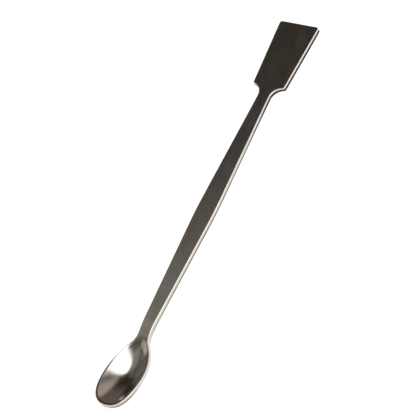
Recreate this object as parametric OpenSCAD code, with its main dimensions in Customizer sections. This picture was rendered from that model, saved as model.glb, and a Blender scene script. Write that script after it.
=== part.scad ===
// Laboratory spatula of one piece of steel: a flat trapezoid blade, a long flat handle that is widest at its
// middle, and a dished spoon. It lies as it comes to rest, on the bowl's underside and the blade's end.

/* [Plate] */
// Length from the spoon's end to the blade's end
length = 150; // [120:1:200]
// Thickness of the blade, the handle and the bowl's wall
plate_t = 1.75; // [1.2:0.05:3]
// Radius of the broken edges all round the outline
edge_r = 0.15; // [0.1:0.05:0.3]

/* [Blade] */
// Length from the blade's end to its shoulders
blade_len = 25.3; // [18:0.1:40]
// Width at the blade's end
blade_end_w = 15.4; // [12:0.1:22]
// Width at the blade's shoulders
shoulder_w = 12.3; // [11:0.1:13]
// Radius of the hollow between a shoulder and the handle
shoulder_r = 4.3; // [4:0.1:8]
// Radius of the shoulders' corners
shoulder_corner_r = 0.5; // [0.5:0.1:1]
// Radius of the corners at the blade's end
end_corner_r = 0.9; // [0.6:0.1:3]

/* [Handle] */
// Width of the handle next to the blade
blade_neck_w = 4.4; // [3:0.1:6]
// Width of the handle where it is widest
belly_w = 7.3; // [6:0.1:10]
// Distance from the spoon's end to the widest place of the handle
belly_at = 74.8; // [65:0.1:85]
// Radius that rounds the widest place
belly_r = 150; // [40:1:250]
// Width of the handle next to the spoon
spoon_neck_w = 4.3; // [3:0.1:6]

/* [Spoon] */
// Width of the spoon
spoon_w = 14.4; // [11:0.1:18]
// Distance from the spoon's end to its widest place
spoon_round_len = 12; // [9:0.1:15]
// Fullness of the spoon's round end, where 2 is an ellipse and more is squarer
spoon_fullness = 2.45; // [2:0.05:3]
// Radius of the flanks that draw in towards the handle
flank_r = 21; // [17:0.5:30]
// Radius of the hollow between a flank and the handle
neck_fillet_r = 6.5; // [3:0.1:12]
// Width of the flat rim round the bowl
rim_w = 0.6; // [0.2:0.05:1]
// Depth of the bowl below its rim
bowl_depth = 2.7; // [2:0.1:5]
// Distance from the spoon's end to the deepest place of the bowl
bowl_deepest_at = 12.5; // [8:0.1:15]
// Height of the rim's end above the handle's top face
rim_lift = 0.95; // [0:0.05:3]
// Drop of the rim below the handle's top face where the bowl begins
rim_dip = 1.35; // [0:0.05:3]
// Distance from the spoon's end to the lowest place of the rim
rim_dip_at = 22; // [18:0.1:26]
// Length over which the handle comes down to the lowest place of the rim
crank_len = 10; // [6:0.1:16]
// Thickness where the handle meets the spoon
neck_t = 2; // [1.2:0.1:4]
// Length over which that thickness runs out along the handle
neck_run = 28; // [12:0.5:30]

/* [Hidden] */

// Spans across the width, and spans on the round of each broken edge
cross_spans = 12;
edge_spans = 2;
// Spans along each stretch of the outline
round_spans = 14;
flank_spans = 9;
neck_spans = 6;
root_spans = 14;
belly_spans = 4;
shoulder_spans = 8;
corner_spans = 4;
// Angle at which the outline leaves the middle of the spoon's end
round_start = 4;
// Width of the handle's and the blade's face that stays flat beside the broken edge
border_w = 0.1;
// Depth by which the lower edge is broken further at the corners of the blade's end
corner_break = 0.02;
// Steel as the light falls on it
steel = [0.42, 0.4, 0.38];

// Smooth step from 0 to 1
function eased(u) = let (c = min(1, max(0, u))) c * c * (3 - 2 * c);

function unit(v) = v / norm(v);

// Points along an arc, in the plane
function arc(centre, r, from, to, spans) =
    [for (k = [0:spans]) let (a = from + (to - from) * k / spans) centre + r * [cos(a), sin(a)]];

// Points along the arc that rounds corner b between its neighbours a and c
function corner(a, b, c, r, spans) =
    let (
        to_a = unit(a - b),
        to_c = unit(c - b),
        half = acos(to_a * to_c) / 2,
        centre = b + unit(to_a + to_c) * r / sin(half),
        first = b + to_a * r / tan(half) - centre,
        last = b + to_c * r / tan(half) - centre,
        start = atan2(first.y, first.x),
        turn = atan2(last.y, last.x) - start,
        sweep = turn > 180 ? turn - 360 : turn < -180 ? turn + 360 : turn
    )
    arc(centre, r, start, start + sweep, spans);

function without_first(list) = [for (k = [1:len(list) - 1]) list[k]];

// The neck fillet touches the flank's arc and the side of the handle
neck_centre_y = spoon_neck_w / 2 + neck_fillet_r;
neck_rise = neck_centre_y - spoon_w / 2 + flank_r;
neck_at = spoon_round_len + sqrt(pow(flank_r + neck_fillet_r, 2) - pow(neck_rise, 2));
flank_end = atan2(neck_rise, neck_at - spoon_round_len);

// The crank and the thick neck have both run out where the handle becomes a plain plate
level_at = rim_dip_at + crank_len;
plain_at = max(level_at, neck_at + neck_run);

// The shoulder's hollow touches the handle and ends at the blade's corner
shoulder_at = [length - blade_len, shoulder_w / 2];
hollow_drop = blade_neck_w / 2 + shoulder_r - shoulder_at.y;
blade_neck_at = shoulder_at.x - sqrt(pow(shoulder_r, 2) - pow(hollow_drop, 2));
hollow_end = 360 - asin(hollow_drop / shoulder_r);
corner_share = atan(shoulder_corner_r / shoulder_r);

spoon_neck = [neck_at, spoon_neck_w / 2];
belly = [belly_at, belly_w / 2];
blade_neck = [blade_neck_at, blade_neck_w / 2];
blade_end = [length, blade_end_w / 2];

round_end = [
    for (k = [0:round_spans])
        let (a = round_start + (90 - round_start) * k / round_spans, power = 2 / spoon_fullness)
            [spoon_round_len * (1 - pow(cos(a), power)), spoon_w / 2 * pow(sin(a), power)]
];
flank = arc([spoon_round_len, spoon_w / 2 - flank_r], flank_r, 90, flank_end, flank_spans);
neck = arc([neck_at, neck_centre_y], neck_fillet_r, 180 + flank_end, 270, neck_spans);
root = [
    for (k = [0:root_spans])
        let (x = neck_at + (plain_at - neck_at) * k / root_spans, share = (x - neck_at) / (belly_at - neck_at))
            [x, spoon_neck.y + (belly.y - spoon_neck.y) * share]
];
hollow = arc(blade_neck + [0, shoulder_r], shoulder_r, 270, hollow_end - corner_share, shoulder_spans);
shoulder = corner(shoulder_at - [-sin(hollow_end), cos(hollow_end)], shoulder_at, blade_end,
    shoulder_corner_r, corner_spans);
end_corner = corner(shoulder_at, blade_end, [length, 0], end_corner_r, corner_spans);

// Half of the outline seen from above, from the spoon's end to the blade's end
spoon_side = concat(round_end, without_first(flank), without_first(neck), without_first(root));
plate_side = concat(corner(spoon_neck, belly, blade_neck, belly_r, belly_spans), hollow, shoulder, end_corner);
outline = concat(spoon_side, plate_side);
last = len(outline) - 1;
// Station where the spoon, with its root in the handle, meets the plain plate
joint = len(spoon_side) - 1;

// Outward direction of the outline at each of its points
outward = [
    for (i = [0:last])
        let (along = i == 0 ? [0, 1] : i == last ? [0, -1] : i == joint ? [1, 0]
            : unit(outline[i + 1] - outline[i - 1]))
            [-along.y, along.x]
];

// Width of the flat border at each station: the bowl's rim, which runs out along the root of the handle
flat_w = [
    for (p = outline)
        border_w + (rim_w - border_w) * (1 - eased((p.x - neck_at) / (plain_at - neck_at)))
];

// The outline drawn in by the broken edge and the flat border, where the dished faces begin
face_line = [for (i = [0:last]) outline[i] - (edge_r + flat_w[i]) * outward[i]];
bowl_start = face_line[0].x;

// Height of the rim and of the handle's top face along the length
function rim_z(x) = x < rim_dip_at
    ? (rim_lift + rim_dip) * eased((rim_dip_at - x) / rim_dip_at) - rim_dip
    : -rim_dip * (1 - eased((x - rim_dip_at) / crank_len));

// Depth of the bowl along its middle line
function bowl_z(x) = x < bowl_deepest_at
    ? bowl_depth * (1 - pow((bowl_deepest_at - x) / (bowl_deepest_at - bowl_start), 2))
    : bowl_depth * (1 - eased((x - bowl_deepest_at) / (neck_at - bowl_deepest_at)));

// Thickness along the length, with the swelling at the neck
function wall_t(x) = plate_t + (neck_t - plate_t) * (x < neck_at
    ? eased((x - bowl_deepest_at) / (neck_at - bowl_deepest_at))
    : 1 - eased((x - neck_at) / neck_run));

// Point of the upper face at station i, across from 1 on the left to -1 on the right
function upper(i, across) = let (p = face_line[i])
    [p.x, p.y * across, rim_z(p.x) - bowl_z(p.x) * (1 - across * across)];

// The lower edge is broken a little deeper round the corners of the blade's end
function corner_rise(i, across) = abs(across) == 1 && i >= last - corner_spans && i < last ? corner_break : 0;

function lower(i, across) = let (p = upper(i, across)) p - [0, 0, wall_t(p.x) - corner_rise(i, across)];

function across(j) = 1 - 2 * j / cross_spans;

// Borders of the spoon's faces and of the plate's, as station, place across and outward direction: each runs
// from the joint round the end to the joint again
function left(i) = [i, 0, outward[i]];
function right(i) = [i, cross_spans, [outward[i].x, -outward[i].y]];
spoon_border = concat([for (i = [joint:-1:1]) right(i)], [for (j = [cross_spans:-1:1]) [0, j, [-1, 0]]],
    [for (i = [0:joint]) left(i)]);
plate_border = concat([for (i = [joint:last - 1]) left(i)], [for (j = [0:cross_spans - 1]) [last, j, [1, 0]]],
    [for (i = [last:-1:joint]) right(i)]);

// Ring of border points beyond the flat border, on the round of the upper edge or of the lower one
function edge_ring(border, side, a) = [
    for (b = border)
        let (
            p = side > 0 ? upper(b[0], across(b[1])) : lower(b[0], across(b[1])),
            out = (flat_w[b[0]] + edge_r * cos(a)) * b[2]
        )
            p + [out.x, out.y, edge_r * (sin(a) - side)]
];

// Points of one length, with the handle level: both faces first, then the edge from its top ring to its bottom
function level_points(first, end, border) = concat(
    [for (i = [first:end]) for (j = [0:cross_spans]) upper(i, across(j))],
    [for (i = [first:end]) for (j = [0:cross_spans]) lower(i, across(j))],
    [for (k = [0:edge_spans]) each edge_ring(border, 1, 90 - 90 * k / edge_spans)],
    [for (k = [0:edge_spans]) each edge_ring(border, -1, -90 * k / edge_spans)]
);
spoon_points = level_points(0, joint, spoon_border);
plate_points = level_points(joint, last, plate_border);

// The spatula tips until the bowl's underside and the blade's end touch the same surface
bottom_rings = [for (p = edge_ring(plate_border, -1, -90)) if (p.x > belly_at) p];
end_contact = bottom_rings[search(max([for (p = bottom_rings) p.x]), [for (p = bottom_rings) p.x])[0]];
tip_angle = atan(max([
    for (i = [0:last])
        let (p = lower(i, 0))
            if (p.x < neck_at) (end_contact.z - p.z) / (end_contact.x - p.x)
]));

function tipped(p) = [
    p.x * cos(tip_angle) + p.z * sin(tip_angle),
    p.y,
    p.z * cos(tip_angle) - p.x * sin(tip_angle)
];

// The origin is under the middle of the length, on the surface that the spatula lies on
tipped_points = [for (p = concat(spoon_points, plate_points)) tipped(p)];
tipped_x = [for (p = tipped_points) p.x];
origin = [(min(tipped_x) + max(tipped_x)) / 2, 0, min([for (p = tipped_points) p.z])];

edge_levels = 2 * edge_spans + 3;

// Two triangles of a four-sided patch, cut along either diagonal
function halves(a, b, c, d, first_way) = first_way ? [[a, b, c], [a, c, d]] : [[a, b, d], [b, c, d]];

// Closed length of the spatula between two stations, with its section at the joint
module stretch(first, end, border, points) {
    rows = end - first + 1;
    count = rows * (cross_spans + 1);
    rim = len(border);
    spoon_end = first == 0;
    function face(i, j) = (i - first) * (cross_spans + 1) + j;
    // Index of border point m at a level of the edge, from 0 at the upper face down to the lower face
    function edge(m, level) =
        level == 0 ? face(border[m][0], border[m][1])
        : level == edge_levels ? count + face(border[m][0], border[m][1])
        : 2 * count + (level - 1) * rim + m;
    upper_faces = [
        for (i = [first:end - 1]) for (j = [0:cross_spans - 1])
            each halves(face(i, j), face(i + 1, j), face(i + 1, j + 1), face(i, j + 1), j < cross_spans / 2)
    ];
    lower_faces = [for (f = upper_faces) [for (k = [2:-1:0]) f[k] + count]];
    edge_faces = [
        for (m = [0:rim - 2]) for (level = [0:edge_levels - 1])
            each halves(edge(m, level), edge(m, level + 1), edge(m + 1, level + 1), edge(m + 1, level), true)
    ];
    // The section's patches, each listed from the same corner for both lengths
    section = concat(
        [
            for (j = [0:cross_spans - 1])
                [face(joint, j + 1), face(joint, j), count + face(joint, j), count + face(joint, j + 1)]
        ],
        [[for (level = [0:edge_levels]) edge(spoon_end ? rim - 1 : 0, level)]],
        [[for (level = [0:edge_levels]) edge(spoon_end ? 0 : rim - 1, edge_levels - level)]]
    );
    section_faces = spoon_end ? section : [
        for (f = section) [for (k = [0:len(f) - 1]) k == 0 ? f[0] : f[len(f) - k]]
    ];
    polyhedron([for (p = points) tipped(p) - origin], concat(upper_faces, lower_faces, edge_faces, section_faces));
}

module spatula() {
    color(steel)
        union() {
            stretch(0, joint, spoon_border, spoon_points);
            stretch(joint, last, plate_border, plate_points);
        }
}

spatula();
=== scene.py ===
"""Looks of a one-piece steel laboratory spatula: blade, handle and spoon, with its studio and camera."""

import logging
import math
from collections.abc import Callable
from dataclasses import dataclass, field
from enum import Enum

import bmesh
import bpy
from mathutils import Matrix, Vector


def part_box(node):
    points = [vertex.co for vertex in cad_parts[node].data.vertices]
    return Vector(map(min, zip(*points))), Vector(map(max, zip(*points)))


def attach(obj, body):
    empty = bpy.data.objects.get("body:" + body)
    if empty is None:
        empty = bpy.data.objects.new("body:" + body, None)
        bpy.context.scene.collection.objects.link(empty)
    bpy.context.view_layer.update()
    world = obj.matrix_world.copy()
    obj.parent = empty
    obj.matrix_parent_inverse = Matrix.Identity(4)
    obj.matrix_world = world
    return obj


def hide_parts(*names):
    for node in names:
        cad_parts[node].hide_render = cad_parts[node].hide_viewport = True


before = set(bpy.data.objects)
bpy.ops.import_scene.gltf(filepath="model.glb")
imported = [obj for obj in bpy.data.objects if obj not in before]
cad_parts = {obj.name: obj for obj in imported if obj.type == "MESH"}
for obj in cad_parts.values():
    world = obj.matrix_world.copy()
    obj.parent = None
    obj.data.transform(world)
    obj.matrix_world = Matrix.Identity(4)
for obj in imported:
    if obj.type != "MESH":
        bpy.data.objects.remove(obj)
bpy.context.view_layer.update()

Point = tuple[float, float]
Colour = tuple[float, float, float]
Grain = tuple[float, float, float]

log = logging.getLogger("spatula")


def eased(share: float) -> float:
    """Smooth step from 0 to 1.

    Args:
        share: Place along the step, held to the range 0 to 1.

    Returns:
        The eased share.
    """
    held = min(1.0, max(0.0, share))
    return held * held * (3.0 - 2.0 * held)


def arc(centre: Point, radius: float, start: float, stop: float, spans: int) -> list[Point]:
    """Points along an arc.

    Args:
        centre: Centre of the arc.
        radius: Radius of the arc.
        start: First angle, in radians.
        stop: Last angle, in radians.
        spans: Number of straight spans.

    Returns:
        The points, both ends included.
    """
    angles = [start + (stop - start) * step / spans for step in range(spans + 1)]
    return [(centre[0] + radius * math.cos(a), centre[1] + radius * math.sin(a)) for a in angles]


def rounded(before: Point, corner: Point, after: Point, radius: float, spans: int) -> list[Point]:
    """Points along the arc that rounds a corner.

    Args:
        before: A point on the line that comes in.
        corner: The sharp corner.
        after: A point on the line that goes out.
        radius: Radius of the rounding.
        spans: Number of straight spans.

    Returns:
        The points, both ends included.
    """
    vertex = Vector(corner)
    back = (Vector(before) - vertex).normalized()
    ahead = (Vector(after) - vertex).normalized()
    half = back.angle(ahead) / 2
    centre = vertex + (back + ahead).normalized() * radius / math.sin(half)
    first = vertex + back * radius / math.tan(half) - centre
    last = vertex + ahead * radius / math.tan(half) - centre
    start = math.atan2(first.y, first.x)
    turn = math.atan2(last.y, last.x) - start
    turn -= math.tau * round(turn / math.tau)
    return arc((centre.x, centre.y), radius, start, start + turn, spans)


@dataclass(frozen=True)
class Station:
    """One place along the length: the face's border there, and the way out to the outline.

    Attributes:
        x: Place of the border along the length.
        half: Half width of the face there.
        out: Direction from the border out to the outline.
        reach: Distance from the border out to the outline.
    """

    x: float
    half: float
    out: Point
    reach: float


@dataclass(frozen=True)
class Plan:
    """The outline seen from above, in metres from the spoon's end, and the spans along each stretch of it."""

    length: float = 0.150
    edge_r: float = 0.00015
    blade_len: float = 0.0253
    blade_end_w: float = 0.0154
    shoulder_w: float = 0.0123
    shoulder_r: float = 0.0043
    shoulder_corner_r: float = 0.0005
    end_corner_r: float = 0.0009
    blade_neck_w: float = 0.0044
    belly_w: float = 0.0073
    belly_at: float = 0.0748
    belly_r: float = 0.150
    spoon_neck_w: float = 0.0043
    spoon_w: float = 0.0144
    spoon_round_len: float = 0.0120
    spoon_fullness: float = 2.45
    flank_r: float = 0.0210
    neck_fillet_r: float = 0.0065
    root_len: float = 0.0280
    rim_w: float = 0.00060
    border_w: float = 0.0001
    round_start: float = 4.0
    round_spans: int = 14
    flank_spans: int = 9
    neck_spans: int = 6
    root_spans: int = 14
    belly_spans: int = 4
    shoulder_spans: int = 8
    corner_spans: int = 4

    @property
    def neck_centre_y(self) -> float:
        """Distance of the neck fillet's centre from the middle line."""
        return self.spoon_neck_w / 2 + self.neck_fillet_r

    @property
    def neck_rise(self) -> float:
        """Distance across from the flank's centre to the neck fillet's centre."""
        return self.neck_centre_y - self.spoon_w / 2 + self.flank_r

    @property
    def neck_at(self) -> float:
        """Place along the length where the spoon's neck fillet meets the handle."""
        reach = self.flank_r + self.neck_fillet_r
        return self.spoon_round_len + math.sqrt(reach**2 - self.neck_rise**2)

    def spoon_side(self) -> list[Point]:
        """Side of the spoon, from its end to the handle's plain stretch.

        Returns:
            The points of the left side.
        """
        quarter = math.pi / 2
        first = math.radians(self.round_start)
        power = 2 / self.spoon_fullness
        end = []
        for step in range(self.round_spans + 1):
            angle = min(first + (quarter - first) * step / self.round_spans, quarter)
            to_go = abs(math.cos(angle)) ** power if step < self.round_spans else 0.0
            end.append((self.spoon_round_len * (1 - to_go), self.spoon_w / 2 * math.sin(angle) ** power))
        neck_angle = math.atan2(self.neck_rise, self.neck_at - self.spoon_round_len)
        flank_centre = (self.spoon_round_len, self.spoon_w / 2 - self.flank_r)
        flank = arc(flank_centre, self.flank_r, quarter, neck_angle, self.flank_spans)
        neck_centre = (self.neck_at, self.neck_centre_y)
        neck = arc(neck_centre, self.neck_fillet_r, math.pi + neck_angle, 3 * quarter, self.neck_spans)
        root = []
        for step in range(1, self.root_spans + 1):
            ahead = self.root_len * step / self.root_spans
            share = ahead / (self.belly_at - self.neck_at)
            half = self.spoon_neck_w / 2 + (self.belly_w - self.spoon_neck_w) / 2 * share
            root.append((self.neck_at + ahead, half))
        return end + flank[1:] + neck[1:] + root

    def blade_side(self) -> list[Point]:
        """Side of the handle's belly and of the blade.

        Returns:
            The points of the left side.
        """
        shoulder = (self.length - self.blade_len, self.shoulder_w / 2)
        drop = self.blade_neck_w / 2 + self.shoulder_r - shoulder[1]
        neck = (shoulder[0] - math.sqrt(self.shoulder_r**2 - drop**2), self.blade_neck_w / 2)
        end = (self.length, self.blade_end_w / 2)
        root = (self.neck_at, self.spoon_neck_w / 2)
        widest = (self.belly_at, self.belly_w / 2)
        belly = rounded(root, widest, neck, self.belly_r, self.belly_spans)
        hollow_end = math.tau - math.asin(drop / self.shoulder_r)
        hollow_stop = hollow_end - math.atan(self.shoulder_corner_r / self.shoulder_r)
        hollow_centre = (neck[0], neck[1] + self.shoulder_r)
        hollow = arc(hollow_centre, self.shoulder_r, 1.5 * math.pi, hollow_stop, self.shoulder_spans)
        before = (shoulder[0] + math.sin(hollow_end), shoulder[1] - math.cos(hollow_end))
        corner = rounded(before, shoulder, end, self.shoulder_corner_r, self.corner_spans)
        end_corner = rounded(shoulder, end, (self.length, 0.0), self.end_corner_r, self.corner_spans)
        return belly + hollow + corner + end_corner

    def stations(self) -> list[Station]:
        """Stations along the length, where the dished face begins inside the border and the broken edge.

        Returns:
            The stations, from the spoon's end to the blade's end.
        """
        side = self.spoon_side() + self.blade_side()
        made = []
        for step, here in enumerate(side):
            if step == 0:
                along = Vector((0.0, 1.0))
            elif step == len(side) - 1:
                along = Vector((0.0, -1.0))
            else:
                along = (Vector(side[step + 1]) - Vector(side[step - 1])).normalized()
            out = (-along.y, along.x)
            run_out = eased((here[0] - self.neck_at) / self.root_len)
            reach = self.edge_r + self.rim_w + (self.border_w - self.rim_w) * run_out
            made.append(Station(here[0] - reach * out[0], here[1] - reach * out[1], out, reach))
        return made


@dataclass(frozen=True)
class Heights:
    """Heights along the length, in metres above the handle's upper face."""

    neck_at: float
    bowl_start: float
    plate_t: float = 0.00175
    neck_t: float = 0.0020
    neck_run: float = 0.0280
    bowl_depth: float = 0.0027
    rim_fall: float = 0.00011
    bowl_deepest_at: float = 0.0125
    rim_lift: float = 0.00095
    rim_dip: float = 0.00135
    rim_dip_at: float = 0.0220
    crank_len: float = 0.0100

    def rim(self, x: float) -> float:
        """Height of the rim, or of the handle's upper face, at x.

        Args:
            x: Place along the length.

        Returns:
            The height.
        """
        if x < self.rim_dip_at:
            return (self.rim_lift + self.rim_dip) * eased(1 - x / self.rim_dip_at) - self.rim_dip
        return -self.rim_dip * (1 - eased((x - self.rim_dip_at) / self.crank_len))

    def fall(self, x: float) -> float:
        """Fall of the rim's flat at x, from the outline in to the bowl."""
        return self.rim_fall * (1 - eased((x - self.rim_dip_at) / (self.neck_at - self.rim_dip_at)))

    def face(self, x: float) -> float:
        """Height of the upper face's border at x, inside the rim's flat."""
        return self.rim(x) - self.fall(x)

    def bowl(self, x: float) -> float:
        """Depth of the bowl below the face's border, on the middle line at x.

        Args:
            x: Place along the length.

        Returns:
            The depth.
        """
        depth = self.bowl_depth - self.rim_fall
        if x < self.bowl_deepest_at:
            share = (self.bowl_deepest_at - x) / (self.bowl_deepest_at - self.bowl_start)
            return depth * (1 - min(1.0, share) ** 2)
        return depth * (1 - eased((x - self.bowl_deepest_at) / (self.neck_at - self.bowl_deepest_at)))

    def swelling(self, x: float) -> float:
        """Thickness at x beyond the plate's own.

        Args:
            x: Place along the length.

        Returns:
            The extra thickness.
        """
        if x < self.neck_at:
            share = eased((x - self.bowl_deepest_at) / (self.neck_at - self.bowl_deepest_at))
        else:
            share = 1 - eased((x - self.neck_at) / self.neck_run)
        return (self.neck_t - self.plate_t) * share


class Bench:
    """A mesh on the bench: edit-mode tools for one piece, used as a modeller uses them."""

    NEAR: float = 1e-7
    PLACES: int = 7

    def __init__(self, name: str, columns: int) -> None:
        """Starts the piece as a straight row of vertices across the middle line.

        Args:
            name: Name of the piece.
            columns: Number of spans across.
        """
        bpy.ops.object.select_all(action="DESELECT")
        bpy.ops.mesh.primitive_grid_add(x_subdivisions=1, y_subdivisions=columns, size=2)
        self.piece = bpy.context.active_object
        self.piece.name = name
        self.piece.data.name = name
        bpy.ops.object.mode_set(mode="EDIT")
        bpy.ops.mesh.select_mode(type="VERT")
        self.pick(lambda v: v.co.x > 0)
        bpy.ops.mesh.delete(type="VERT")
        self.pick(lambda v: True)
        bpy.ops.transform.translate(value=(1, 0, 0))

    def verts(self) -> bmesh.types.BMVertSeq:
        """The vertices as they are now."""
        return bmesh.from_edit_mesh(self.piece.data).verts

    def pick(self, wanted: Callable[[bmesh.types.BMVert], bool]) -> set[int]:
        """Selects vertices by a test, and nothing else.

        Args:
            wanted: Test that a vertex has to pass.

        Returns:
            The indices of the selected vertices.
        """
        bpy.ops.mesh.select_all(action="DESELECT")
        shape = bmesh.from_edit_mesh(self.piece.data)
        for vert in shape.verts:
            vert.select = wanted(vert)
        shape.select_flush_mode()
        bmesh.update_edit_mesh(self.piece.data)
        return self.picked()

    def picked(self) -> set[int]:
        """Indices of the selected vertices."""
        return {vert.index for vert in self.verts() if vert.select}

    def move(self, x: float = 0.0, z: float = 0.0) -> None:
        """Moves what is selected along the length and in height."""
        bpy.ops.transform.translate(value=(x, 0, z))

    def scale(self, y: float, z: float, centre: tuple[float, float, float]) -> None:
        """Scales what is selected across and in height about a centre."""
        bpy.ops.transform.resize(value=(1, y, z), center_override=centre)

    def extrude(self, x: float = 0.0, z: float = 0.0) -> None:
        """Extrudes what is selected and moves it along the length and in height."""
        bpy.ops.mesh.extrude_region_move(TRANSFORM_OT_translate={"value": (x, 0, z)})

    def mark(self, name: str) -> None:
        """Marks the selected vertices with 1 in a new attribute.

        Args:
            name: Name of the attribute.
        """
        shape = bmesh.from_edit_mesh(self.piece.data)
        layer = shape.verts.layers.float.new(name)
        for vert in shape.verts:
            vert[layer] = float(vert.select)
        bmesh.update_edit_mesh(self.piece.data)

    def finish(self) -> bpy.types.Object:
        """Leaves edit mode.

        Returns:
            The piece.
        """
        bpy.ops.mesh.select_all(action="SELECT")
        bpy.ops.mesh.remove_doubles(threshold=self.NEAR)
        bpy.ops.mesh.normals_make_consistent(inside=False)
        bpy.ops.object.mode_set(mode="OBJECT")
        return self.piece


class Sum(Enum):
    """A way to join two values in a material."""

    ADD = "ADD"
    MULTIPLY = "MULTIPLY"
    MAXIMUM = "MAXIMUM"


class NodeBoard:
    """The nodes of a new material, with short ways to add and join them."""

    NOISE_SPAN: Point = (0.3, 0.7)

    def __init__(self, name: str) -> None:
        """Starts the material with its shader and the piece's own coordinates.

        Args:
            name: Name of the material.
        """
        self.material = bpy.data.materials.new(name)
        self.material.use_nodes = True
        self.nodes = self.material.node_tree.nodes
        self.shader = self.nodes["Principled BSDF"]
        self.place = self.nodes.new("ShaderNodeTexCoord").outputs["Object"]

    def join(self, source: bpy.types.NodeSocket, target: bpy.types.NodeSocket) -> None:
        """Links an output to an input."""
        self.material.node_tree.links.new(source, target)

    def mark(self, name: str) -> bpy.types.NodeSocket:
        """Reads a mark on the mesh.

        Args:
            name: Name of the mesh attribute.

        Returns:
            The mark, from 0 to 1.
        """
        node = self.nodes.new("ShaderNodeAttribute")
        node.attribute_name = name
        return node.outputs["Fac"]

    def noise(self, grain: Grain, turn: float = 0.0, detail: float = 3.0) -> bpy.types.NodeSocket:
        """Adds noise on the piece's own coordinates.

        Args:
            grain: Size of the noise's grains along the length, across it and in height, in metres.
            turn: Angle by which the grains run off the length, in degrees.
            detail: Number of finer layers.

        Returns:
            The noise, mostly within the noise span.
        """
        grains = self.nodes.new("ShaderNodeMapping")
        grains.vector_type = "TEXTURE"
        grains.inputs["Rotation"].default_value = (0, 0, math.radians(turn))
        grains.inputs["Scale"].default_value = grain
        self.join(self.place, grains.inputs["Vector"])
        node = self.nodes.new("ShaderNodeTexNoise")
        node.inputs["Scale"].default_value = 1.0
        node.inputs["Detail"].default_value = detail
        self.join(grains.outputs["Vector"], node.inputs["Vector"])
        return node.outputs["Fac"]

    def span(self, source: bpy.types.NodeSocket, from_span: Point, to_span: Point) -> bpy.types.NodeSocket:
        """Carries one range of values over to another, held at its ends.

        Args:
            source: Values to carry over.
            from_span: Range that comes in.
            to_span: Range that goes out.

        Returns:
            The values carried over.
        """
        node = self.nodes.new("ShaderNodeMapRange")
        for name, value in zip(("From Min", "From Max", "To Min", "To Max"), (*from_span, *to_span)):
            node.inputs[name].default_value = value
        self.join(source, node.inputs["Value"])
        return node.outputs["Result"]

    def sums(
        self, way: Sum, first: bpy.types.NodeSocket, second: bpy.types.NodeSocket
    ) -> bpy.types.NodeSocket:
        """Joins two values by a sum.

        Args:
            way: Kind of sum.
            first: First value.
            second: Second value.

        Returns:
            The outcome.
        """
        node = self.nodes.new("ShaderNodeMath")
        node.operation = way.value
        self.join(first, node.inputs[0])
        self.join(second, node.inputs[1])
        return node.outputs["Value"]

    def blend(
        self, share: bpy.types.NodeSocket, first: bpy.types.NodeSocket, second: float | Colour
    ) -> bpy.types.NodeSocket:
        """Blends a value or a colour towards a fixed one.

        Args:
            share: Share of the fixed one, from 0 to 1.
            first: What the blend starts from.
            second: Fixed value or colour.

        Returns:
            The blend.
        """
        node = self.nodes.new("ShaderNodeMix")
        coloured = isinstance(second, tuple)
        node.data_type = "RGBA" if coloured else "FLOAT"
        inputs = {socket.name: socket for socket in node.inputs if socket.enabled}
        self.join(share, inputs["Factor"])
        self.join(first, inputs["A"])
        inputs["B"].default_value = (*second, 1) if coloured else second
        return next(socket for socket in node.outputs if socket.enabled)

    def tint(self, source: bpy.types.NodeSocket, low: Colour, high: Colour) -> bpy.types.NodeSocket:
        """Turns noise into a colour between two.

        Args:
            source: The noise.
            low: Colour where the noise is low.
            high: Colour where the noise is high.

        Returns:
            The colour.
        """
        node = self.nodes.new("ShaderNodeValToRGB")
        for stop, place, colour in zip(node.color_ramp.elements, self.NOISE_SPAN, (low, high)):
            stop.position = place
            stop.color = (*colour, 1)
        self.join(source, node.inputs["Fac"])
        return node.outputs["Color"]

    def bump(
        self, source: bpy.types.NodeSocket, height: float, under: bpy.types.NodeSocket | None = None
    ) -> bpy.types.NodeSocket:
        """Raises the surface by noise.

        Args:
            source: The noise.
            height: Height of the relief, in metres; below 0 it is cut in.
            under: Relief that this one lies on.

        Returns:
            The normal.
        """
        node = self.nodes.new("ShaderNodeBump")
        node.invert = height < 0
        node.inputs["Strength"].default_value = 1.0
        node.inputs["Distance"].default_value = abs(height)
        self.join(source, node.inputs["Height"])
        if under is not None:
            self.join(under, node.inputs["Normal"])
        return node.outputs["Normal"]


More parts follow.
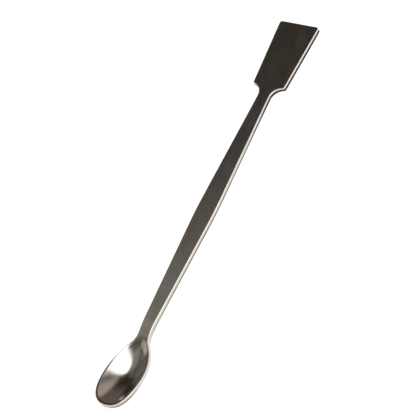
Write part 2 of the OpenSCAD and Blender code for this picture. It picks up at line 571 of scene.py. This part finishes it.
@dataclass(frozen=True)
class SatinSteel:
    """Satin stainless steel: brushed, finely scratched, wiped and worn on its edges; the lower band of its
    sides is near-black, partly the stamped edge's fracture zone and partly painted shade.
    """

    name: str = "satin_steel"
    light: Colour = (0.60, 0.585, 0.565)
    dark: Colour = (0.54, 0.49, 0.455)
    # Near-black of the sides' lower band: partly the fracture zone of the stamped edge, partly painted shade
    # standing in for the shaded floor close beneath, which the lower side reflects.
    torn_and_shade: Colour = (0.03, 0.026, 0.022)
    worn: Colour = (0.68, 0.66, 0.63)
    torn_and_shade_mark: str = "torn_and_shade"
    worn_mark: str = "worn"
    satin: Point = (0.14, 0.18)
    wiped: Point = (0.0, 0.02)
    scratched: float = 0.21
    worn_roughness: float = 0.16
    torn_and_shade_roughness: float = 0.55
    cloud_grain: Grain = (0.011, 0.007, 0.007)
    cloud_detail: float = 4.0
    wipe_grain: Grain = (0.009, 0.0022, 0.0022)
    wipe_turn: float = 7.0
    wipe_detail: float = 4.0
    wipe_span: Point = (0.4, 0.7)
    wear_span: Point = (0.35, 0.6)
    wear_shares: Point = (0.25, 1.0)
    brush_grain: Grain = (0.015, 0.0004, 0.0004)
    brush_height: float = 0.0000006
    scratch_grain: Grain = (0.005, 0.00016, 0.00016)
    scratch_detail: float = 1.0
    scratch_turns: tuple[float, ...] = (4.0, -11.0, 27.0)
    scratch_sparse: Point = (0.70, 0.78)
    scratch_height: float = -0.0000004

    def scratches(self, board: NodeBoard) -> bpy.types.NodeSocket:
        """Lays sparse fine scratches that run in a few directions.

        Args:
            board: The material's nodes.

        Returns:
            1 in a scratch and 0 beside it.
        """
        grains = [board.noise(self.scratch_grain, turn, self.scratch_detail) for turn in self.scratch_turns]
        layers = [board.span(grain, self.scratch_sparse, (0.0, 1.0)) for grain in grains]
        deepest = layers[0]
        for layer in layers[1:]:
            deepest = board.sums(Sum.MAXIMUM, deepest, layer)
        return deepest

    def material(self) -> bpy.types.Material:
        """Builds the material.

        Returns:
            The new material.
        """
        board = NodeBoard(self.name)
        inputs = board.shader.inputs
        inputs["Metallic"].default_value = 1.0
        brush = board.noise(self.brush_grain)
        cloud = board.noise(self.cloud_grain, detail=self.cloud_detail)
        wipes = board.noise(self.wipe_grain, self.wipe_turn, self.wipe_detail)
        scratches = self.scratches(board)
        torn_and_shade = board.mark(self.torn_and_shade_mark)
        wear = board.span(wipes, self.wear_span, self.wear_shares)
        worn = board.sums(Sum.MULTIPLY, board.mark(self.worn_mark), wear)
        colour = board.blend(worn, board.tint(cloud, self.dark, self.light), self.worn)
        # The base colour goes near-black on the sides' lower band: painted shade of the floor beneath,
        # together with the fracture zone.
        board.join(board.blend(torn_and_shade, colour, self.torn_and_shade), inputs["Base Color"])
        satin = board.span(brush, board.NOISE_SPAN, self.satin)
        rough = board.sums(Sum.ADD, satin, board.span(wipes, self.wipe_span, self.wiped))
        rough = board.blend(scratches, rough, self.scratched)
        rough = board.blend(worn, rough, self.worn_roughness)
        board.join(board.blend(torn_and_shade, rough, self.torn_and_shade_roughness), inputs["Roughness"])
        relief = board.bump(brush, self.brush_height)
        board.join(board.bump(scratches, self.scratch_height, relief), inputs["Normal"])
        return board.material


@dataclass
class Spatula:
    """The whole tool: one piece of steel from the spoon's end to the blade's end.

    Attributes:
        plan: The outline.
        finish: The steel.
        columns: Spans across the width.
        edge_segments: Spans round a broken edge.
        edge_share: Share of the edge's radius that the bevel takes.
        edge_profile: Shape of the bevel, where 0.5 is round.
        sharp_angle: Angle above which an edge is broken, in degrees.
        side_split: Share of the plate's thickness above the middle loop of the side.
        clear_of_tear_and_shade: Share of the side that stays above the dark lower band, along the handle and
            at the blade.
        tear_and_shade_depths: Places along the length, each with the depth there of the dark lower band,
            partly the fracture zone and partly painted shade.
        tear_and_shade_blend: Share of the side over which the dark band sets in.
        side_slopes: Height of the normal up to which a spot is on the side, and from which it is not.
        blade_tear_and_shade: Stretch over which the share above the dark band goes from the handle's to the
            blade's.
        land_shares: Shares of the way out to the outline at which the rim has a loop.
        smoothing: Levels of subdivision.
        node: Name of the part's node.
        rows: Stations along the length, from the plan.
        heights: Heights along the length, from the plan.
    """

    plan: Plan = field(default_factory=Plan)
    finish: SatinSteel = field(default_factory=SatinSteel)
    columns: int = 12
    edge_segments: int = 2
    edge_share: float = 0.97
    edge_profile: float = 0.5
    sharp_angle: float = 60.0
    side_split: float = 0.5
    clear_of_tear_and_shade: Point = (0.54, 0.33)
    # These depths paint shade as well as the fracture zone: the band is deep at the tip and deepest at the
    # blade, where the lower side reflects the shaded floor close beneath.
    tear_and_shade_depths: tuple[Point, ...] = (
        (0.004, 0.7),
        (0.013, 0.0),
        (0.024, 0.0),
        (0.032, 0.45),
        (0.050, 0.75),
        (0.100, 0.8),
        (0.120, 1.0),
    )
    tear_and_shade_blend: float = 0.12
    side_slopes: Point = (0.35, 0.75)
    blade_tear_and_shade: Point = (0.100, 0.120)
    land_shares: Point = (0.1, 1.0)
    smoothing: int = 2
    node: str = "spatula"
    rows: list[Station] = field(init=False)
    heights: Heights = field(init=False)

    def __post_init__(self) -> None:
        """Works out the stations and heights from the plan."""
        self.rows = self.plan.stations()
        self.heights = Heights(neck_at=self.plan.neck_at, bowl_start=self.rows[0].x)

    def upper_face(self, bench: Bench) -> None:
        """Models the upper face: one section across the bowl, extruded along the length both ways.

        Args:
            bench: The bench that holds the section's first row.
        """
        start = min(range(len(self.rows)), key=lambda i: abs(self.rows[i].x - self.heights.bowl_deepest_at))
        x, half = self.rows[start].x, self.rows[start].half
        depth = self.heights.bowl(x)
        bench.scale(half, 1, (0, 0, 0))
        bench.move(x=x)
        for column in range(1, self.columns):
            across = 1 - 2 * column / self.columns
            bench.pick(lambda v, y=across * half: abs(v.co.y - y) < bench.NEAR)
            bench.move(z=-depth * (1 - across * across))
        bench.pick(lambda v: True)
        bench.move(z=self.heights.face(x))
        for order in (range(start + 1, len(self.rows)), range(start - 1, -1, -1)):
            bench.pick(lambda v: abs(v.co.x - x) < bench.NEAR)
            self.extrude_rows(bench, start, order)

    def extrude_rows(self, bench: Bench, start: int, order: range) -> None:
        """Extrudes the selected row through further stations.

        Args:
            bench: The bench, with the row at the starting station selected.
            start: Station of the selected row.
            order: Stations to pass through.
        """
        x0, half0 = self.rows[start].x, self.rows[start].half
        face0, depth0 = self.heights.face(x0), self.heights.bowl(x0)
        for station in order:
            x1, half1 = self.rows[station].x, self.rows[station].half
            face1, depth1 = self.heights.face(x1), self.heights.bowl(x1)
            bench.extrude(x=x1 - x0, z=face1 - face0)
            flat = depth1 / depth0 if depth0 > 0 else 1.0
            bench.scale(half1 / half0, flat, (x1, 0, face1))
            x0, half0, face0, depth0 = x1, half1, face1, depth1

    def edge_land(self, bench: Bench) -> None:
        """Extrudes the face's border outwards and up to the outline, as a rim with a crisp inner edge.

        Args:
            bench: The bench that holds the upper face.
        """
        bpy.ops.mesh.select_all(action="DESELECT")
        bpy.ops.mesh.select_non_manifold(extend=False, use_wire=False, use_multi_face=False, use_verts=False)
        last = len(self.rows) - 1
        done = 0.0
        for share in self.land_shares:
            bench.extrude()
            border = bench.picked()
            spots = {vert.index: vert.co.copy() for vert in bench.verts() if vert.index in border}
            for number, row in enumerate(self.rows):
                whole_row = number in (0, last)
                x = row.x + done * row.reach * row.out[0]
                half = row.half + done * row.reach * row.out[1]
                step = (share - done) * row.reach
                here = {
                    index
                    for index, spot in spots.items()
                    if abs(spot.x - x) < bench.NEAR and (whole_row or abs(abs(spot.y) - half) < bench.NEAR)
                }
                bench.pick(lambda v, chosen=here: v.index in chosen)
                bench.move(x=step * row.out[0], z=(share - done) * self.heights.fall(row.x))
                if not whole_row:
                    bench.scale(1 + step * row.out[1] / half, 1, (row.x, 0, 0))
            bench.pick(lambda v, chosen=border: v.index in chosen)
            done = share

    def thickness(self, bench: Bench) -> None:
        """Gives the sheet its thickness, with the swelling at the spoon's neck.

        Args:
            bench: The bench that holds the sheet.
        """
        bpy.ops.mesh.select_all(action="SELECT")
        bench.extrude(z=-self.heights.plate_t * self.side_split)
        bench.extrude(z=-self.heights.plate_t * (1 - self.side_split))
        under = bench.picked()
        spots = {vert.index: vert.co.copy() for vert in bench.verts() if vert.index in under}
        stations = sorted({round(spot.x, bench.PLACES) for spot in spots.values()})
        for x in stations:
            extra = self.heights.swelling(x)
            if extra < bench.NEAR:
                continue
            here = {index for index, spot in spots.items() if abs(spot.x - x) < bench.NEAR}
            bench.pick(lambda v, chosen=here: v.index in chosen)
            bench.move(z=-extra)

    def break_edges(self, bench: Bench) -> None:
        """Rounds the upper and the lower edge all the way round the outline, and marks them as worn.

        Args:
            bench: The bench that holds the closed body.
        """
        bpy.ops.mesh.select_all(action="SELECT")
        bpy.ops.mesh.normals_make_consistent(inside=False)
        bpy.ops.mesh.select_mode(type="EDGE")
        bpy.ops.mesh.select_all(action="DESELECT")
        bpy.ops.mesh.edges_select_sharp(sharpness=math.radians(self.sharp_angle))
        bpy.ops.mesh.bevel(
            offset=self.plan.edge_r * self.edge_share,
            offset_type="OFFSET",
            segments=self.edge_segments,
            profile=self.edge_profile,
            affect="EDGES",
            clamp_overlap=False,
        )
        bench.mark(self.finish.worn_mark)

    def tear_and_shade_depth(self, x: float) -> float:
        """Depth at x of the side's dark lower band, from 0 to 1: partly the stamped edge's fracture zone,
        partly painted shade where the side reflects the shaded floor beneath.

        Args:
            x: Place along the length.

        Returns:
            The depth, eased between the places that are listed for it.
        """
        depth = self.tear_and_shade_depths[0][1]
        for (start, _), (stop, goal) in zip(self.tear_and_shade_depths, self.tear_and_shade_depths[1:]):
            depth += (goal - depth) * eased((x - start) / (stop - start))
        return depth

    def mark_torn_and_shaded_band(self, piece: bpy.types.Object) -> None:
        """Marks the lower part of the side for its dark band, most of all at the blade: partly the fracture
        zone left when the blank was stamped, partly painted shade where the side reflects the shaded floor
        beneath.

        Args:
            piece: The modelled body, with its handle level.
        """
        marks = piece.data.attributes.new(self.finish.torn_and_shade_mark, "FLOAT", "POINT")
        upright, lying = self.side_slopes
        for vert in piece.data.vertices:
            x, _, z = vert.co
            below = (self.heights.rim(x) - z) / (self.heights.plate_t + self.heights.swelling(x))
            on_side = 1 - eased((abs(vert.normal.z) - upright) / (lying - upright))
            rough = eased((x - self.blade_tear_and_shade[0]) / (self.blade_tear_and_shade[1] - self.blade_tear_and_shade[0]))
            clear_of_tear_and_shade = self.clear_of_tear_and_shade[0] + (self.clear_of_tear_and_shade[1] - self.clear_of_tear_and_shade[0]) * rough
            torn_and_shade = eased((below - clear_of_tear_and_shade) / self.tear_and_shade_blend + 0.5)
            # This mark paints shade as well as the fracture zone: the band stands in for the dark reflection
            # of the shaded floor beneath.
            marks.data[vert.index].value = self.tear_and_shade_depth(x) * on_side * torn_and_shade

    def lay_down(self, piece: bpy.types.Object) -> None:
        """Tips the level body until bowl and blade touch the floor, and centres it in the frame's box.

        Args:
            piece: The modelled body, with its handle level.
        """
        spots = [vert.co for vert in piece.data.vertices]
        under = -self.heights.plate_t + Bench.NEAR
        blade = [spot for spot in spots if spot.z < under and spot.x > self.plan.belly_at]
        contact = max(blade, key=lambda spot: spot.x)
        bowl = [spot for spot in spots if spot.x < self.plan.neck_at]
        angle = math.atan(max((contact.z - spot.z) / (contact.x - spot.x) for spot in bowl))
        piece.data.transform(Matrix.Rotation(angle, 4, "Y"))
        lowest, highest = (Vector(corner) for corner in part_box(self.node))
        spots = [vert.co for vert in piece.data.vertices]
        middle = (min(spot.x for spot in spots) + max(spot.x for spot in spots)) / 2
        floor = min(spot.z for spot in spots)
        centre = (lowest + highest) / 2
        piece.data.transform(Matrix.Translation((centre.x - middle, centre.y, lowest.z - floor)))

    def build(self) -> bpy.types.Object:
        """Models, smooths and dresses the spatula.

        Returns:
            The finished piece.
        """
        bench = Bench("spatula_body", self.columns)
        self.upper_face(bench)
        self.edge_land(bench)
        self.thickness(bench)
        self.break_edges(bench)
        piece = bench.finish()
        smooth = piece.modifiers.new("smooth", "SUBSURF")
        smooth.levels = self.smoothing
        smooth.render_levels = self.smoothing
        bpy.ops.object.modifier_apply(modifier=smooth.name)
        self.mark_torn_and_shaded_band(piece)
        self.lay_down(piece)
        bpy.ops.object.shade_smooth()
        piece.data.materials.clear()
        piece.data.materials.append(self.finish.material())
        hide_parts(self.node)
        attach(piece, "root")
        return piece


class Role(Enum):
    """What a light panel does in the studio."""

    KEY = "key_softbox"
    SPILL = "spill_card"
    GLOW = "side_glow"
    BACK_GLOW = "back_glow"
    FRONT_CARD = "front_card"
    FRONT_GLOW = "front_glow"
    SIDE_CARD = "side_card"


@dataclass(frozen=True)
class Panel:
    """A rectangle of soft light that faces the spatula.

    Attributes:
        role: What the panel does.
        tilt_x: Tilt of its middle from straight overhead towards the blade, in degrees.
        tilt_y: Tilt of its middle from straight overhead to the left seen from the spoon, in degrees.
        span_x: Angle that it covers along the length, in degrees.
        span_y: Angle that it covers across the length, in degrees.
        radiance: Strength of its light.
        tint: Colour of its light.
        fade: Share of the panel over which the light fades out to its edge.
        turn: Turn about its own middle, in degrees.
        squareness: Power that rounds its corners, from 2 for an ellipse upwards.
        distance: Distance from the spatula, in metres.
    """

    role: Role
    tilt_x: float
    tilt_y: float
    span_x: float
    span_y: float
    radiance: float
    tint: Colour
    fade: float = 0.0
    turn: float = 0.0
    squareness: float = 2.0
    distance: float = 0.9

    def soften(self, lamp: bpy.types.AreaLight) -> None:
        """Rounds the panel's corners and fades its light out towards its edge.

        Args:
            lamp: The panel's light.
        """
        lamp.use_nodes = True
        nodes, links = lamp.node_tree.nodes, lamp.node_tree.links
        spot = nodes.new("ShaderNodeNewGeometry")
        split = nodes.new("ShaderNodeSeparateXYZ")
        links.new(spot.outputs["Parametric"], split.inputs["Vector"])
        radius = nodes.new("ShaderNodeMath")
        for number, axis in enumerate("XY"):
            reach = nodes.new("ShaderNodeMapRange")
            reach.inputs["To Min"].default_value = -1.0
            links.new(split.outputs[axis], reach.inputs["Value"])
            size = nodes.new("ShaderNodeMath")
            size.operation = "ABSOLUTE"
            links.new(reach.outputs["Result"], size.inputs[0])
            share = nodes.new("ShaderNodeMath")
            share.operation = "POWER"
            share.inputs[1].default_value = self.squareness
            links.new(size.outputs["Value"], share.inputs[0])
            links.new(share.outputs["Value"], radius.inputs[number])
        light = nodes.new("ShaderNodeMapRange")
        light.interpolation_type = "SMOOTHSTEP"
        light.inputs["From Min"].default_value = 1.0
        light.inputs["From Max"].default_value = (1 - self.fade) ** self.squareness
        links.new(radius.outputs["Value"], light.inputs["Value"])
        links.new(light.outputs["Result"], nodes["Emission"].inputs["Strength"])

    def build(self) -> bpy.types.Object:
        """Hangs the panel.

        Returns:
            The light.
        """
        lean = math.radians(math.hypot(self.tilt_x, self.tilt_y))
        heading = math.atan2(self.tilt_y, self.tilt_x)
        across = math.sin(lean)
        away = Vector((across * math.cos(heading), across * math.sin(heading), math.cos(lean)))
        side = (Vector((1, 0, 0)) - away * away.x).normalized()
        facing = Matrix((side, away.cross(side), away)).transposed().to_4x4()
        turned = facing @ Matrix.Rotation(math.radians(self.turn), 4, "Z")
        halves = (math.radians(span / 2) for span in (self.span_x, self.span_y))
        width, height = (2 * self.distance * math.tan(half) for half in halves)
        lamp = bpy.data.lights.new(self.role.value, "AREA")
        lamp.shape = "RECTANGLE"
        lamp.size = width
        lamp.size_y = height
        lamp.energy = self.radiance * math.pi * width * height
        lamp.color = self.tint
        if self.fade:
            self.soften(lamp)
        hung = bpy.data.objects.new(self.role.value, lamp)
        hung.matrix_world = Matrix.Translation(away * self.distance) @ turned
        bpy.context.scene.collection.objects.link(hung)
        return hung


@dataclass(frozen=True)
class Viewpoint:
    """The photograph's camera: a long lens that looks down, turned about its own axis."""

    aim: tuple[float, float, float] = (0.00238, 0.00185, 0.0)
    azimuth: float = 56.98
    elevation: float = 50.93
    roll: float = -37.21
    distance: float = 0.9844
    focal_px: float = 3000.0
    image_px: float = 416.0
    sensor_mm: float = 36.0
    far_clip: float = 20.0

    def build(self) -> bpy.types.Object:
        """Sets up the camera.

        Returns:
            The camera.
        """
        turn, fall, roll = (math.radians(a) for a in (self.azimuth, self.elevation, self.roll))
        across = math.cos(fall)
        ahead = Vector((across * math.cos(turn), across * math.sin(turn), -math.sin(fall)))
        level = ahead.cross(Vector((0, 0, 1))).normalized()
        upright = level.cross(ahead)
        right = level * math.cos(roll) + upright * math.sin(roll)
        up = upright * math.cos(roll) - level * math.sin(roll)
        lens = bpy.data.cameras.new("camera")
        lens.sensor_width = self.sensor_mm
        lens.lens = self.focal_px * self.sensor_mm / self.image_px
        lens.clip_end = self.far_clip
        camera = bpy.data.objects.new("camera", lens)
        turned = Matrix((right, up, -ahead)).transposed().to_4x4()
        camera.matrix_world = Matrix.Translation(Vector(self.aim) - ahead * self.distance) @ turned
        bpy.context.scene.collection.objects.link(camera)
        bpy.context.scene.camera = camera
        return camera


@dataclass
class Studio:
    """Pale floor, dim room and soft panels round the spatula."""

    floor_side: float = 4.0
    floor_colour: Colour = (0.40, 0.40, 0.40)
    floor_glow: float = 0.86
    far_glow: float = 0.3
    pool: Point = (0.14, 0.45)
    room_colour: Colour = (0.028, 0.0205, 0.0145)
    panels: tuple[Panel, ...] = (
        Panel(Role.KEY, 9, -31, 48, 118, 2.3, (1.0, 0.985, 0.96), fade=0.36, turn=-11.0, squareness=3.6),
        Panel(Role.SPILL, 5, 31, 42, 44, 0.26, (1.0, 0.94, 0.86), fade=0.69),
        Panel(Role.GLOW, 10, 66, 33, 52, 0.115, (1.0, 0.98, 0.9), turn=14.0),
        Panel(Role.BACK_GLOW, -12, 12, 26, 70, 0.11, (0.97, 1.0, 0.93), fade=0.6),
        Panel(Role.FRONT_CARD, 73, -28, 56, 104, 0.52, (1.0, 0.885, 0.765), fade=0.5),
        Panel(Role.FRONT_GLOW, 62, 35, 34, 71, 0.143, (1.0, 0.91, 0.82), fade=0.8, turn=26.0, squareness=2.6),
        Panel(Role.SIDE_CARD, -18.5, 57, 20, 40, 0.63, (1.0, 0.88, 0.77), turn=-26.0),
    )
    viewpoint: Viewpoint = field(default_factory=Viewpoint)

    def floor(self) -> bpy.types.Object:
        """Lays the floor.

        Returns:
            The floor.
        """
        bpy.ops.object.select_all(action="DESELECT")
        bpy.ops.mesh.primitive_plane_add(size=self.floor_side)
        laid = bpy.context.active_object
        laid.name = "floor"
        paint = bpy.data.materials.new("floor_paint")
        paint.use_nodes = True
        shader = paint.node_tree.nodes["Principled BSDF"]
        shader.inputs["Base Color"].default_value = (*self.floor_colour, 1)
        shader.inputs["Roughness"].default_value = 1.0
        shader.inputs["Specular IOR Level"].default_value = 0.0
        shader.inputs["Emission Color"].default_value = (1, 1, 1, 1)
        self.glow_pool(paint)
        laid.data.materials.append(paint)
        return laid

    def glow_pool(self, paint: bpy.types.Material) -> None:
        """Lets the floor glow round the spatula and fade out further away.

        Args:
            paint: The floor's material.
        """
        nodes, links = paint.node_tree.nodes, paint.node_tree.links
        place = nodes.new("ShaderNodeTexCoord")
        reach = nodes.new("ShaderNodeVectorMath")
        reach.operation = "LENGTH"
        links.new(place.outputs["Object"], reach.inputs[0])
        glow = nodes.new("ShaderNodeMapRange")
        glow.interpolation_type = "SMOOTHSTEP"
        glow.inputs["From Min"].default_value = self.pool[0]
        glow.inputs["From Max"].default_value = self.pool[1]
        glow.inputs["To Min"].default_value = self.floor_glow
        glow.inputs["To Max"].default_value = self.far_glow
        links.new(reach.outputs["Value"], glow.inputs["Value"])
        links.new(glow.outputs["Result"], nodes["Principled BSDF"].inputs["Emission Strength"])

    def room(self) -> bpy.types.World:
        """Sets the dim room round the panels.

        Returns:
            The world.
        """
        world = bpy.data.worlds.new("room")
        world.use_nodes = True
        world.node_tree.nodes["Background"].inputs["Color"].default_value = (*self.room_colour, 1)
        bpy.context.scene.world = world
        return world

    def build(self) -> None:
        """Builds the floor, the room, the panels and the camera."""
        self.floor()
        self.room()
        for panel in self.panels:
            panel.build()
        self.viewpoint.build()
        bpy.context.scene.view_settings.view_transform = "Standard"


def main() -> None:
    """Builds the spatula and its studio."""
    logging.basicConfig(level=logging.INFO, format="%(name)s: %(message)s")
    piece = Spatula().build()
    log.info("%s: %d faces", piece.name, len(piece.data.polygons))
    Studio().build()


if __name__ == "__main__":
    main()
